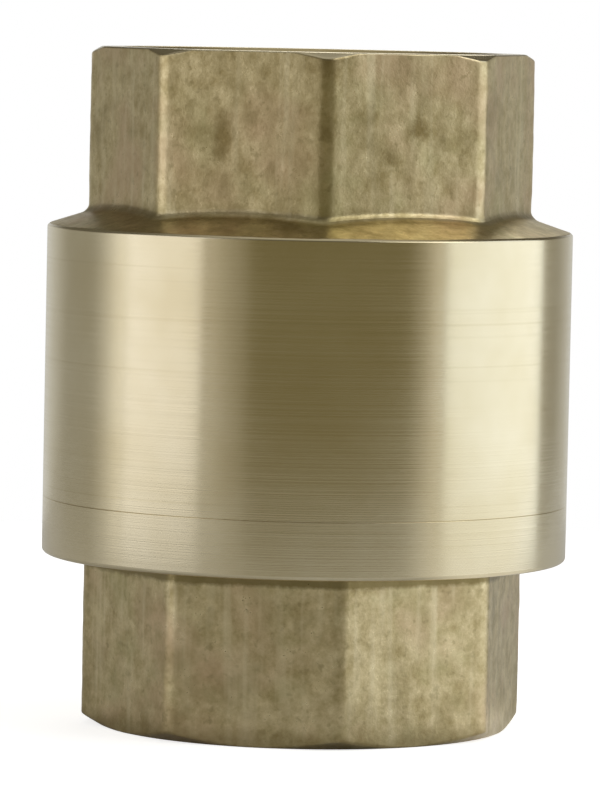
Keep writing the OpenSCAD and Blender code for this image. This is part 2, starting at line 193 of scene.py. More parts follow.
class Finish:
    """A material, or the light of the room, that is put together node by node."""

    def __init__(self, name, owner=None):
        self.owner = owner or bpy.data.materials.new(name)
        self.owner.use_nodes = True
        self.tree = self.owner.node_tree
        self.tree.nodes.clear()

    def add(self, kind, settings=None, inputs=None, output=0):
        """Adds a node with its settings and inputs, and gives back one of its outputs."""
        node = self.tree.nodes.new("ShaderNode" + kind)
        for name, setting in (settings or {}).items():
            if name == "stops":
                ramp = node.color_ramp.elements
                while len(ramp) < len(setting):
                    ramp.new(0.5)
                for stop, (place, colour) in zip(ramp, setting):
                    stop.position = place
                    stop.color = (*colour, 1) if len(colour) == 3 else colour
            else:
                setattr(node, name, setting)
        for name, value in (inputs or {}).items():
            if isinstance(value, Value):
                self.tree.links.new(value.socket, node.inputs[name])
            else:
                node.inputs[name].default_value = value
        return Value(self, node.outputs[output])

    def place(self):
        """The point of the surface in the piece's own space, in metres."""
        return self.add("TexCoord", output="Object")

    def math(self, operation, *values):
        """One step of arithmetic on values or numbers."""
        return self.add("Math", {"operation": operation}, dict(enumerate(values)))

    def stretched(self, place, scale):
        """The place with each axis scaled, for patterns that run along the surface."""
        settings = {"operation": "MULTIPLY"}
        return self.add("VectorMath", settings, {0: place, 1: scale})

    def cloud(self, place, scale, detail=3.0, roughness=0.55):
        """Soft random patches between 0 and 1."""
        inputs = {"Vector": place, "Scale": scale, "Detail": detail, "Roughness": roughness}
        return self.add("TexNoise", {}, inputs)

    def spread(self, value, low, high, to_low=0.0, to_high=1.0):
        """Maps a range of a value to another range, cut off at both ends."""
        inputs = {0: value, 1: low, 2: high, 3: to_low, 4: to_high}
        return self.add("MapRange", {"clamp": True}, inputs)

    def mixed(self, share, first, second, blend="MIX"):
        """One colour blended into another."""
        settings = {"data_type": "RGBA", "blend_type": blend, "clamp_factor": True}
        return self.add("Mix", settings, {0: share, 6: first, 7: second}, output=2)

    def lathe_marks(self, place, pitch):
        """Fine tool marks that run round the axis, on drums and faces alike."""
        x = self.add("SeparateXYZ", {}, {0: place}, output=0)
        y = self.add("SeparateXYZ", {}, {0: place}, output=1)
        z = self.add("SeparateXYZ", {}, {0: place}, output=2)
        radius = (x * x + y * y) ** 0.5
        across = self.add("CombineXYZ", {}, {0: radius * (1 / pitch), 1: z * (1 / pitch)})
        drift = self.stretched(place, (5, 5, 5))
        settings = {"operation": "ADD"}
        lines_at = self.add("VectorMath", settings, {0: across, 1: drift})
        return self.cloud(lines_at, 1.0, detail=2.0, roughness=0.7)

    def metal(self, colour, roughness, height=None, depth=0.0, coat=0.0):
        """Ends the material in a metal surface. height and depth make its relief."""
        inputs = {"Base Color": colour, "Metallic": 1.0, "Roughness": roughness}
        inputs["Coat Weight"] = coat
        return self.surface(inputs, height, depth)

    def surface(self, inputs, height=None, depth=0.0):
        """Ends the material in one principled surface."""
        if height is not None:
            bumps = {"Strength": 1.0, "Distance": depth, "Height": height}
            inputs["Normal"] = self.add("Bump", {}, bumps)
        return self.ended(self.add("BsdfPrincipled", {}, inputs))

    def ended(self, shader, kind="OutputMaterial"):
        """Joins the last shader to the output and gives back what it belongs to."""
        node = self.tree.nodes.new("ShaderNode" + kind)
        self.tree.links.new(shader.socket, node.inputs["Surface"])
        return self.owner


def dress(piece, body, nodes, materials):
    """Gives a piece its materials and body, and lets it stand for its CAD nodes."""
    for material in materials:
        piece.data.materials.append(material)
    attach(piece, body)
    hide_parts(*nodes)
    return piece


def box_mm(node):
    """Lowest and highest corner of a CAD node, in millimetres."""
    low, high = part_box(node)
    return low / MM, high / MM


def ground_steel(name, colour, pitch, roughness=0.24):
    """Stainless steel with fine marks round its axis and faint grey patches."""
    finish = Finish(name)
    place = finish.place()
    marks = finish.lathe_marks(place, pitch)
    patches = finish.cloud(place, 260.0)
    dark = tuple(0.72 * c for c in colour)
    shade = finish.mixed(finish.spread(patches, 0.35, 0.7), (*dark, 1), (*colour, 1))
    rough = roughness + finish.spread(marks, 0.3, 0.7, -0.06, 0.08)
    return finish.metal(shade, rough, marks, 0.004 * MM)


stem_low, stem_high = box_mm("valve_stem")
boss_top_z = box_mm("valve_disc")[1].z
STEM_R = 4.0
COLLAR_H = 2.5
STEM_CHAMFER = 0.7
THREAD_DEPTH = 0.55
nut_low_z = box_mm("retaining_nut")[0].z

stem_steel = ground_steel("stem_steel", (0.56, 0.56, 0.55), 0.09 * MM)
stem = turned_piece(
    "stem",
    [
        corner(0, stem_low.z),
        corner(STEM_R - STEM_CHAMFER, stem_low.z),
        corner(STEM_R, stem_low.z + STEM_CHAMFER),
        corner(STEM_R, boss_top_z, 0.05),
        corner(stem_high.x, boss_top_z),
        corner(stem_high.x, boss_top_z + COLLAR_H, 0.3),
        corner(STEM_R, boss_top_z + COLLAR_H, 0.3),
        corner(STEM_R, stem_high.z - STEM_CHAMFER),
        corner(STEM_R - STEM_CHAMFER, stem_high.z),
        corner(0, stem_high.z),
    ],
    round_angles(96),
    closed=False,
)
dress(stem, "poppet", ["valve_stem"], [stem_steel])

# Valve disc: turned from brass bar, with a boss on top that keeps the spring central.
# It is clamped between the stem's collar and the soft seal.
disc_low, disc_high = box_mm("valve_disc")
DISC_T = 3.5
BOSS_R = 9.0
HOLE_R = 4.05


def fine_turned_brass(name, pitch, roughness=0.22):
    """Bright turned brass of the inner pieces."""
    finish = Finish(name)
    place = finish.place()
    marks = finish.lathe_marks(place, pitch)
    patches = finish.cloud(place, 120.0, 4.0)
    tone = finish.spread(patches, 0.3, 0.75)
    shade = finish.mixed(tone, (0.56, 0.43, 0.21, 1), (0.72, 0.60, 0.34, 1))
    rough = roughness + finish.spread(marks, 0.3, 0.7, -0.05, 0.1)
    return finish.metal(shade, rough, marks, 0.006 * MM)


disc_brass = fine_turned_brass("disc_brass", 0.14 * MM)
disc = turned_piece("disc", [
    corner(HOLE_R, disc_low.z),
    corner(disc_high.x, disc_low.z, 0.5),
    corner(disc_high.x, disc_low.z + DISC_T, 0.5),
    corner(BOSS_R, disc_low.z + DISC_T, 0.3),
    corner(BOSS_R, disc_high.z, 0.5),
    corner(HOLE_R, disc_high.z),
])
dress(disc, "poppet", ["valve_disc"], [disc_brass])

# Seal ring: a flat ring of black nitrile rubber under the disc. It closes on the raised seat,
# and the plate below keeps it flat.
seal_low, seal_high = box_mm("seal_ring")


def moulded_rubber(name):
    """Black rubber with a fine moulded grain and a little bloom."""
    finish = Finish(name)
    place = finish.place()
    grain = finish.cloud(place, 5200.0, 2.0)
    bloom = finish.spread(finish.cloud(place, 170.0), 0.45, 0.75)
    shade = finish.mixed(bloom, (0.018, 0.018, 0.019, 1), (0.045, 0.044, 0.042, 1))
    rough = finish.spread(grain, 0.3, 0.7, 0.52, 0.68)
    inputs = {"Base Color": shade, "Roughness": rough}
    return finish.surface(inputs, grain, 0.01 * MM)


seal_rubber = moulded_rubber("seal_rubber")
seal = turned_piece("seal", [
    corner(HOLE_R, seal_low.z),
    corner(seal_high.x, seal_low.z, 0.3),
    corner(seal_high.x, seal_high.z, 0.3),
    corner(HOLE_R, seal_high.z),
])
dress(seal, "poppet", ["seal_ring"], [seal_rubber])

# Seal retainer: a turned brass plate that hangs in the seat bore and clamps the seal ring.
# Its lower edge is rounded so that the water parts over it.
plate_low, plate_high = box_mm("seal_retainer")
PLATE_EDGE = 0.5

plate = turned_piece("retainer_plate", [
    corner(HOLE_R, plate_low.z),
    corner(plate_high.x, plate_low.z, PLATE_EDGE),
    corner(plate_high.x, plate_high.z),
    corner(HOLE_R, plate_high.z),
])
dress(plate, "poppet", ["seal_retainer"], [disc_brass])

# Lock washer: a split ring of spring steel that keeps the nut from working loose.
# It is cut from square wire, so its edges are only lightly rounded.


def eased_copy(name, node, width, material, body):
    """A copy of a CAD node whose sharp edges are rounded, which stands for that node."""
    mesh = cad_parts[node].data.copy()
    mesh.name = name
    mesh.materials.clear()
    form = bmesh.new()
    form.from_mesh(mesh)
    bmesh.ops.remove_doubles(form, verts=form.verts, dist=1e-6)
    flat = math.radians(0.5)
    bmesh.ops.dissolve_limit(form, angle_limit=flat, verts=form.verts, edges=form.edges)
    sharp = [e for e in form.edges if e.is_manifold and e.calc_face_angle(0) > math.radians(25)]
    bmesh.ops.bevel(
        form,
        geom=sharp,
        offset=width * MM,
        offset_type="OFFSET",
        segments=2,
        profile=0.5,
        affect="EDGES",
        clamp_overlap=True,
    )
    bmesh.ops.triangulate(form, faces=[f for f in form.faces if len(f.verts) > 4])
    form.to_mesh(mesh)
    form.free()
    set_even_normals(mesh)
    piece = bpy.data.objects.new(name, mesh)
    bpy.context.scene.collection.objects.link(piece)
    return dress(piece, body, [node], [material])


fastener_steel = ground_steel("fastener_steel", (0.52, 0.52, 0.51), 0.2 * MM, 0.28)
washer = eased_copy("split_washer", "lock_washer", 0.08, fastener_steel, "poppet")

# Retaining nut: a stainless hexagon nut on the stem's tail. It clamps washer, plate, seal and
# disc against the stem's collar.
nut = eased_copy("hexagon_nut", "retaining_nut", 0.12, fastener_steel, "poppet")

# Outlet guide: a brass rim, three arms and a hub in one casting. It is turned where it fits the
# body and takes the bush, and blasted on the arms.
guide_low, guide_high = box_mm("outlet_guide")
bush_r = box_mm("guide_bush")[1].x
SEATING_CLEARANCE = 0.03
HUB_WALL = 2.0
HUB_RISE = 2.0
GUIDE_RIM_H = 4.0
GUIDE_RIM_W = 4.2
SPRING_SEAT_T = 2.0
spring_seat_r = box_mm("return_spring")[1].x + 1.3
ARM_W = 4.0
ARM_COUNT = 3
ARM_EASE = 0.45
ARM_INSET = 0.03
hub_bore_r = bush_r + SEATING_CLEARANCE
hub_r = hub_bore_r + HUB_WALL
ledge_z = guide_high.z - HUB_RISE
guide_z = ledge_z - GUIDE_RIM_H
rim_inner_r = guide_high.x - GUIDE_RIM_W


def tube_faces(rings, sides):
    """Faces of a tube with flat ends, one ring of points after another."""
    faces = [
        (i * sides + j, (i + 1) * sides + j, (i + 1) * sides + (j + 1) % sides, i * sides + (j + 1) % sides)
        for i in range(rings - 1)
        for j in range(sides)
    ]
    faces.append(tuple(range(sides)))
    faces.append(tuple((rings - 1) * sides + j for j in range(sides)))
    return faces


def guide_arm(turn):
    """One arm with rounded edges, from inside the hub out into the rim and falling towards it."""
    low_z = guide_z + ARM_INSET
    root_z = ledge_z + HUB_RISE / 2
    stations = [
        (hub_bore_r + HUB_WALL / 2, root_z),
        (hub_r, root_z),
        (rim_inner_r - 1, ledge_z - ARM_INSET),
        (rim_inner_r + 1, ledge_z - ARM_INSET),
    ]
    quarters = ((1, 1), (-1, 1), (-1, -1), (1, -1))
    points = []
    for r, top_z in stations:
        for i, (side, upper) in enumerate(quarters):
            for step in range(4):
                angle = (i + step / 3) * math.pi / 2
                across = side * (ARM_W / 2 - ARM_EASE) + ARM_EASE * math.cos(angle)
                edge_z = top_z - ARM_EASE if upper > 0 else low_z + ARM_EASE
                x = r * math.cos(turn) - across * math.sin(turn)
                y = r * math.sin(turn) + across * math.cos(turn)
                points.append((x, y, edge_z + ARM_EASE * math.sin(angle)))
    return points, tube_faces(len(stations), len(points) // len(stations))


guide_rim = turned_shell([
    corner(rim_inner_r, guide_z, 0.3),
    corner(guide_high.x, guide_z, 0.3),
    corner(guide_high.x, ledge_z, 0.2),
    corner(rim_inner_r, ledge_z, 0.3),
])
guide_hub = turned_shell([
    corner(hub_bore_r, guide_low.z),
    corner(hub_r, guide_low.z, 0.3),
    corner(hub_r, guide_z, 0.4),
    corner(spring_seat_r, guide_z, 0.2),
    corner(spring_seat_r, guide_z + SPRING_SEAT_T, 0.3),
    corner(hub_r, guide_z + SPRING_SEAT_T, 0.4),
    corner(hub_r, guide_high.z, 0.3),
    corner(hub_bore_r, guide_high.z),
])
guide_arms = [guide_arm(math.radians(90 + i * 360 / ARM_COUNT)) for i in range(ARM_COUNT)]
guide_points = []
guide_faces = []
for shell_points, shell_faces, *_ in (guide_rim, guide_hub, *guide_arms):
    guide_faces += [tuple(i + len(guide_points) for i in face) for face in shell_faces]
    guide_points += [tuple(point) for point in shell_points]
guide = add_piece("guide", guide_points, guide_faces)
guide_brass = fine_turned_brass("guide_brass", 0.18 * MM, 0.34)
dress(guide, "housing", ["outlet_guide"], [guide_brass])

# Guide bush: a plain bush machined from white plastic and pressed into the guide's hub,
# so that the steel stem doesn't run on brass.


def machined_plastic(name, light, dark):
    """Matt plastic with machining marks."""
    finish = Finish(name)
    place = finish.place()
    marks = finish.lathe_marks(place, 0.12 * MM)
    shade = finish.mixed(finish.cloud(place, 300.0), (*dark, 1), (*light, 1))
    rough = finish.spread(marks, 0.3, 0.7, 0.38, 0.52)
    return finish.surface({"Base Color": shade, "Roughness": rough}, marks, 0.004 * MM)


bush_plastic = machined_plastic("bush_plastic", (0.78, 0.77, 0.72), (0.68, 0.66, 0.60))
bush = eased_copy("bush", "guide_bush", 0.1, bush_plastic, "housing")

# Guide circlip: a stamped spring steel ring with two lugs. It snaps into a groove below the
# guide and holds it against its ledge.
circlip = eased_copy("circlip", "guide_circlip", 0.1, fastener_steel, "housing")

# Return spring: stainless wire with closed and ground ends. It stands on the disc round its boss
# and bears on the guide's hub above, and shortens as the disc lifts.
spring_low, spring_high = box_mm("return_spring")
WIRE_R = 0.6
TURNS = 6.5
CLOSED_TURNS = 0.8
WIRE_SIDES = 14
STEPS_PER_TURN = 48
GROUND_OFF = 0.35


def coil_height(turn, height):
    """Height of the wire's centre above the lower end after a number of turns."""
    ground = WIRE_R - GROUND_OFF
    closed_rise = CLOSED_TURNS * 2 * WIRE_R
    from_end = min(turn, TURNS - turn)
    if from_end < CLOSED_TURNS:
        rise = ground + from_end * 2 * WIRE_R
        return rise if turn < TURNS / 2 else height - rise
    open_rise = height - 2 * (ground + closed_rise)
    return ground + closed_rise + (turn - CLOSED_TURNS) / (TURNS - 2 * CLOSED_TURNS) * open_rise


spring_height = spring_high.z - spring_low.z
coil_r = spring_high.x - WIRE_R
spring_steps = int(TURNS * STEPS_PER_TURN)
spring_points = []
for i in range(spring_steps + 1):
    turn = i * TURNS / spring_steps
    angle = 2 * math.pi * turn
    for j in range(WIRE_SIDES):
        side = 2 * math.pi * j / WIRE_SIDES
        r = coil_r + WIRE_R * math.cos(side)
        z = coil_height(turn, spring_height) + WIRE_R * math.sin(side)
        z = min(max(z, 0), spring_height)
        spring_points.append((r * math.cos(angle), r * math.sin(angle), spring_low.z + z))

spring_steel = ground_steel("spring_steel", (0.50, 0.50, 0.49), 0.3 * MM, 0.2)
spring = add_piece("spring", spring_points, tube_faces(spring_steps + 1, WIRE_SIDES))
dress(spring, "housing", ["return_spring"], [spring_steel])
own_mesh(spring)

# Body: forged in brass, then turned on the drum, bored through and threaded for the pipe above.
# The octagon and the shoulder keep their blasted forging skin, the drum its fine tool marks.
FLATS = 8
FLATS_R = 27.5
FLAT_EDGE_R = 2.8
END_FACE_R = 27.3
OUTLET_FACE_R = 28.4
CHAMFER_SLOPE = math.tan(math.radians(30))
SOCKET_R = 23.9
SOCKET_DEPTH = 17.0
RELIEF_R = 24.3
RELIEF_W = 2.5
MOUTH_CHAMFER = 1.2
THROAT_R = 21.5
FORGED, TURNED, BORED = range(3)

body_low, body_high = box_mm("body")
drum_r = body_high.x
seam_z = body_low.z
outlet_z = body_high.z
DRUM_TOP_Z = 66.4
SHOULDER_H = 2.2
FOOT_FILLET = 0.7
SEAM_CHAMFER = 0.06
SKIN_SHIFT = 0.10
SKIN_WAVES = ((0.16, 1.0), (0.5, 0.45), (1.3, 0.22))


def octagon_angles(turned_by):
    """Angles round the axis, set close together on the octagon's rounded edges."""
    octant = 360 / FLATS
    steps = [*np.linspace(-3, 3, 12, endpoint=False), *np.linspace(3, octant - 3, 40, endpoint=False)]
    first_edge = -90 + turned_by
    return np.radians([first_edge + i * octant + s for i in range(FLATS) for s in steps])


def octagon_r(angles, turned_by, grow=0.0):
    """Radius of an octagon with rounded edges at each angle."""
    octant = 2 * math.pi / FLATS
    from_edge = (angles - math.radians(-90 + turned_by) + octant / 2) % octant - octant / 2
    centre_r = (FLATS_R - FLAT_EDGE_R) / math.cos(octant / 2)
    flat = (FLATS_R + grow) / np.cos(octant / 2 - np.abs(from_edge))
    edge_r = FLAT_EDGE_R + grow
    inside = np.maximum(edge_r ** 2 - (centre_r * np.sin(from_edge)) ** 2, 0)
    edge = centre_r * np.cos(from_edge) + np.sqrt(inside)
    on_edge = np.abs(centre_r * np.sin(from_edge)) < edge_r * math.sin(octant / 2)
    return np.where(on_edge & (edge < flat), edge, flat)


def forged_skin(points, row_finishes, seed):
    """Moves the points of the forged surfaces in and out a little, as a die leaves them."""
    offset = Vector((seed * 37.0, seed * 11.0, seed * 5.0))
    forged = [i for i, finish in enumerate(row_finishes) if finish == FORGED]
    for i in forged:
        inner = 0 < i < len(row_finishes) - 1
        if not inner or row_finishes[i - 1] != FORGED or row_finishes[i + 1] != FORGED:
            continue
        for point in points[i]:
            place = Vector(point) + offset
            shift = sum(amount * noise.noise(place * waves) for waves, amount in SKIN_WAVES)
            radius = math.hypot(point[0], point[1])
            point[:2] *= 1 + SKIN_SHIFT * shift / radius
    return points


def forged_brass(name, seed, painted_shade_bands, blots=()):
    """Blasted forging skin: mottled brass with stains, grain, bands of painted shade and dark blots.

    Each band of painted shade has its height, how far it stays full, where it ends and its share.
    Each blot has its middle, radius and share.
    """
    finish = Finish(name)
    place = finish.add("VectorMath", {"operation": "ADD"}, {0: finish.place(), 1: (seed, 0, 0)})
    height = finish.add("SeparateXYZ", {}, {0: place}, output=2)
    mottle = finish.cloud(place, 360.0, 5.0, 0.72)
    flecks = finish.cloud(place, 820.0, 2.0, 0.6)
    stains = finish.cloud(place, 105.0, 4.0, 0.65)
    warm = finish.spread(finish.cloud(place, 75.0, 2.0), 0.50, 0.68, 0.0, 0.6)
    olive = finish.spread(finish.cloud(place, 120.0, 3.0), 0.52, 0.68, 0.0, 0.45)
    streaks = finish.cloud(finish.stretched(place, (520, 520, 30)), 1.0, 2.0)
    grain = finish.cloud(place, 2600.0, 3.0, 0.7)
    blast = finish.cloud(place, 900.0, 3.0, 0.6)
    tone = finish.spread(mottle, 0.34, 0.66)
    shade = finish.mixed(tone, (0.42, 0.335, 0.16, 1), (0.71, 0.605, 0.36, 1))
    shade = finish.mixed(olive, shade, (0.47, 0.43, 0.22, 1))
    shade = finish.mixed(warm, shade, (0.60, 0.44, 0.275, 1))
    shade = finish.mixed(finish.spread(stains, 0.53, 0.68, 0.0, 0.6), shade, (0.33, 0.265, 0.12, 1))
    shade = finish.mixed(finish.spread(flecks, 0.60, 0.72, 0.0, 0.45), shade, (0.30, 0.24, 0.11, 1))
    shade = finish.mixed(finish.spread(streaks, 0.56, 0.74, 0.0, 0.45), shade, (0.78, 0.69, 0.45, 1))
    # Bands of painted shade: a dark colour laid in where the light falls short, under a rim or at an edge.
    for band_z, full, end, share in painted_shade_bands:
        away = finish.math("ABSOLUTE", height - band_z * MM) + (mottle - 0.5) * (1.1 * MM)
        painted_shade = finish.spread(away, full * MM, end * MM, share, 0.0)
        shade = finish.mixed(painted_shade, shade, (0.24, 0.19, 0.08, 1))
    for x, y, z, radius, share in blots:
        middle = (x * MM + seed, y * MM, z * MM)
        away = finish.add("VectorMath", {"operation": "DISTANCE"}, {0: place, 1: middle}, output=1)
        away = away + (mottle - 0.5) * (2.4 * MM)
        blot = finish.spread(away, 0.2 * radius * MM, radius * MM, share, 0.0)
        shade = finish.mixed(blot, shade, (0.27, 0.205, 0.085, 1))
    rough = finish.spread(mottle, 0.3, 0.7, 0.38, 0.28) + finish.spread(grain, 0.3, 0.7, -0.04, 0.06)
    relief = blast * 0.6 + grain * 0.25 + mottle * 1.0
    return finish.metal(shade, rough, relief, 0.05 * MM)


def turned_brass(name, seed):
    """Turned brass with fine marks round the drum, a few deeper ones and faint warm patches."""
    finish = Finish(name)
    place = finish.add("VectorMath", {"operation": "ADD"}, {0: finish.place(), 1: (0, 0, seed)})
    marks = finish.lathe_marks(place, 0.16 * MM)
    bands = finish.lathe_marks(place, 0.9 * MM)
    patches = finish.cloud(place, 55.0, 3.0)
    tone = finish.spread(patches, 0.35, 0.7)
    shade = finish.mixed(tone, (0.66, 0.575, 0.375, 1), (0.74, 0.665, 0.475, 1))
    shade = finish.mixed(finish.spread(bands, 0.60, 0.74, 0.0, 0.16), shade, (0.48, 0.40, 0.21, 1))
    rough = finish.spread(marks, 0.3, 0.7, 0.15, 0.23)
    return finish.metal(shade, rough, marks + bands * 0.9, 0.004 * MM)


def bored_brass(name):
    """Machined inner surfaces, a little darker and with coarser feed marks."""
    finish = Finish(name)
    place = finish.place()
    marks = finish.lathe_marks(place, 0.3 * MM)
    tone = finish.spread(finish.cloud(place, 80.0), 0.3, 0.7)
    shade = finish.mixed(tone, (0.52, 0.42, 0.21, 1), (0.66, 0.56, 0.33, 1))
    rough = finish.spread(marks, 0.3, 0.7, 0.26, 0.40)
    return finish.metal(shade, rough, marks, 0.010 * MM)


BODY_BLOTS = (
    (-13.0, -24.4, 79.4, 2.3, 0.9),
    (-13.4, -24.2, 76.8, 2.0, 0.8),
    (-13.0, -24.4, 81.8, 1.3, 0.4),
    (-9.2, -26.0, 81.4, 1.2, 0.35),
    (12.2, -24.7, 80.2, 1.8, 0.95),
    (8.4, -26.3, 76.8, 1.7, 0.7),
    (9.6, -25.8, 81.6, 1.3, 0.3),
    (5.9, -27.3, 81.4, 1.3, 0.3),
    (0, -29.4, 88.6, 2.2, 0.55),
    (0, -29.4, 79.6, 2.0, 0.5),
)
body_angles = octagon_angles(0)
body_octagon = octagon_r(body_angles, 0)
body_foot = octagon_r(body_angles, 0, FOOT_FILLET)
body_chamfer = 0.15 + np.maximum(body_octagon - OUTLET_FACE_R, 0) * CHAMFER_SLOPE


def shoulder_z(r):
    """Height of the forged shoulder at a radius."""
    return DRUM_TOP_Z + SHOULDER_H * (drum_r - r) / (drum_r - FLATS_R)


guide_seat_r = guide_high.x + SEATING_CLEARANCE
CHAMBER_R = 30.5
CIRCLIP_T = 1.5
CIRCLIP_GROOVE = 1.2
JOINT_R = 31.05
O_RING_SPACE = 2.0
THREAD_RUN_OUT = 1.2
spigot_top_z = box_mm("end_connector")[1].z
groove_top_z = ledge_z - GUIDE_RIM_H + 0.05
groove_low_z = groove_top_z - CIRCLIP_T - 0.1
chamber_top_z = groove_low_z - CIRCLIP_T

body_corners = [
    corner(drum_r - SEAM_CHAMFER, seam_z, 0.02, 1, TURNED),
    corner(drum_r, seam_z + SEAM_CHAMFER, 0.03, 6, TURNED),
    corner(drum_r, DRUM_TOP_Z - 0.3, 0.15, 1, TURNED),
    corner(drum_r - 0.3, DRUM_TOP_Z, 0.25, 10, FORGED),
    corner(body_foot, shoulder_z(body_foot) + 0.1, 0.9, 3, FORGED),
    corner(body_octagon, shoulder_z(body_octagon) + FOOT_FILLET, 0.9, 26, FORGED),
    corner(body_octagon, outlet_z - body_chamfer, 0.35, 2, TURNED),
    corner(np.minimum(body_octagon, OUTLET_FACE_R) - 0.2, outlet_z, 0.2, 2, TURNED),
    corner(SOCKET_R + MOUTH_CHAMFER, outlet_z, 0.12, 1, BORED),
    corner(SOCKET_R, outlet_z - MOUTH_CHAMFER, 0.1, 4, BORED),
    corner(SOCKET_R, outlet_z - SOCKET_DEPTH, 0.05, 1, BORED),
    corner(RELIEF_R, outlet_z - SOCKET_DEPTH, 0.2, 1, BORED),
    corner(RELIEF_R, outlet_z - SOCKET_DEPTH - RELIEF_W, 0.4, 1, BORED),
    corner(THROAT_R, outlet_z - SOCKET_DEPTH - RELIEF_W, 0.3, 3, BORED),
    corner(THROAT_R, ledge_z, 0.2, 2, BORED),
    corner(guide_seat_r, ledge_z, 0.1, 2, BORED),
    corner(guide_seat_r, groove_top_z, 0.05, 1, BORED),
    corner(guide_seat_r + CIRCLIP_GROOVE, groove_top_z, 0.05, 1, BORED),
    corner(guide_seat_r + CIRCLIP_GROOVE, groove_low_z, 0.05, 1, BORED),
    corner(guide_seat_r, groove_low_z, 0.05, 1, BORED),
    corner(guide_seat_r, chamber_top_z, 0.2, 1, BORED),
    corner(CHAMBER_R, chamber_top_z - (CHAMBER_R - guide_seat_r), 0.4, 4, BORED),
    corner(CHAMBER_R, spigot_top_z + THREAD_RUN_OUT, 0.1, 1, BORED),
    corner(JOINT_R, spigot_top_z + THREAD_RUN_OUT, 0.1, 2, BORED),
    corner(JOINT_R, seam_z + O_RING_SPACE, 0.1, 1, BORED),
    corner(JOINT_R - 0.05 + O_RING_SPACE, seam_z + O_RING_SPACE, 0.1, 1, BORED),
    corner(JOINT_R - 0.05 + O_RING_SPACE, seam_z, 0.05, 1, BORED),
]
# The body's band of painted shade darkens the foot of the octagon where it meets the shoulder.
brass_of_body = [
    forged_brass("body_forged", 0.0, [(DRUM_TOP_Z + SHOULDER_H, 0.1, 1.8, 0.3)], BODY_BLOTS),
    turned_brass("body_turned", 0.0),
    bored_brass("body_bored"),
]
shell = turned_piece(
    "valve_body",
    body_corners,
    body_angles,
    shape=lambda points, finishes: forged_skin(points, finishes, 1),
)
dress(shell, "housing", ["body"], brass_of_body)

# Body o-ring: a rubber ring in the corner of the joint. The connector's flange squeezes it
# into its groove when the two halves are screwed together.
ring_low, ring_high = box_mm("body_o_ring")
ring_section_r = (ring_high.z - ring_low.z) / 2
ring_centre_r = ring_high.x - ring_section_r
RING_SIDES = 20
ring_corners = [
    corner(
        ring_centre_r + ring_section_r * math.cos(2 * math.pi * i / RING_SIDES),
        (ring_low.z + ring_high.z) / 2 + ring_section_r * math.sin(2 * math.pi * i / RING_SIDES),
        0,
    )
    for i in range(RING_SIDES)
]
o_ring_rubber = moulded_rubber("o_ring_rubber")
o_ring = turned_piece("o_ring", ring_corners)
dress(o_ring, "housing", ["body_o_ring"], [o_ring_rubber])

# End connector: the second brass forging, with the inlet socket, the lower band of the drum,
# the threaded spigot and the raised seat. It is screwed up tight, so its octagon stands a few
# degrees round from the body's.
CONNECTOR_TURN = 6
INLET_OCTAGON_H = 22.6
LOWER_RIM = 0.35
SEAT_BORE_R = 19.0
SEAT_LIP_R = 21.4
SEAT_BEVEL = 0.5
seat_z = seal_low.z
SPIGOT_FLOOR_Z = 31.0
SPIGOT_R = 31.0
SPIGOT_CAVITY_R = 28.0
UNDERCUT = 0.35

connector_angles = octagon_angles(CONNECTOR_TURN)
inlet_octagon = octagon_r(connector_angles, CONNECTOR_TURN)
cone_z = SOCKET_DEPTH + RELIEF_W
connector_corners = [
    corner(END_FACE_R, 0, 0.2, 2, FORGED),
    corner(inlet_octagon, (inlet_octagon - END_FACE_R) * CHAMFER_SLOPE, 0.35, 26, FORGED),
    corner(inlet_octagon, INLET_OCTAGON_H, UNDERCUT, 4, TURNED),
    corner(drum_r - LOWER_RIM, INLET_OCTAGON_H, 0.2, 1, TURNED),
    corner(drum_r, INLET_OCTAGON_H + LOWER_RIM, 0.3, 3, TURNED),
    corner(drum_r, seam_z - SEAM_CHAMFER, 0.03, 1, TURNED),
    corner(drum_r - SEAM_CHAMFER, seam_z, 0.02, 1, BORED),
    corner(SPIGOT_R, seam_z, 0.05, 2, BORED),
    corner(SPIGOT_R, spigot_top_z - SEAT_BEVEL, 0.1, 1, BORED),
    corner(SPIGOT_R - SEAT_BEVEL, spigot_top_z, 0.1, 1, BORED),
    corner(SPIGOT_CAVITY_R, spigot_top_z, 0.2, 2, BORED),
    corner(SPIGOT_CAVITY_R, SPIGOT_FLOOR_Z, 0.5, 2, BORED),
    corner(SEAT_LIP_R, SPIGOT_FLOOR_Z, 0.5, 1, BORED),
    corner(SEAT_LIP_R, seat_z - SEAT_BEVEL, 0.15, 1, BORED),
    corner(SEAT_LIP_R - SEAT_BEVEL, seat_z, 0.15, 1, BORED),
    corner(SEAT_BORE_R + SEAT_BEVEL, seat_z, 0.15, 1, BORED),
    corner(SEAT_BORE_R, seat_z - SEAT_BEVEL, 0.15, 4, BORED),
    corner(SEAT_BORE_R, cone_z + RELIEF_R - SEAT_BORE_R, 0.5, 2, BORED),
    corner(RELIEF_R, cone_z, 0.3, 1, BORED),
    corner(RELIEF_R, SOCKET_DEPTH, 0.2, 1, BORED),
    corner(SOCKET_R, SOCKET_DEPTH, 0.05, 4, BORED),
    corner(SOCKET_R, MOUTH_CHAMFER, 0.1, 1, BORED),
    corner(SOCKET_R + MOUTH_CHAMFER, 0, 0.12, 1, TURNED),
]
# The connector's bands of painted shade darken the octagon under the drum's lower rim and the chamfer at
# its foot.
brass_of_connector = [
    forged_brass("connector_forged", 0.4, [(INLET_OCTAGON_H, 1.35, 1.9, 0.9), (0, 1.0, 2.8, 0.45)]),
    turned_brass("connector_turned", 0.0),
    bored_brass("connector_bored"),
]
connector = turned_piece(
    "connector",
    connector_corners,
    connector_angles,
    shape=lambda points, finishes: forged_skin(points, finishes, 2),
)
dress(connector, "housing", ["end_connector"], brass_of_connector)

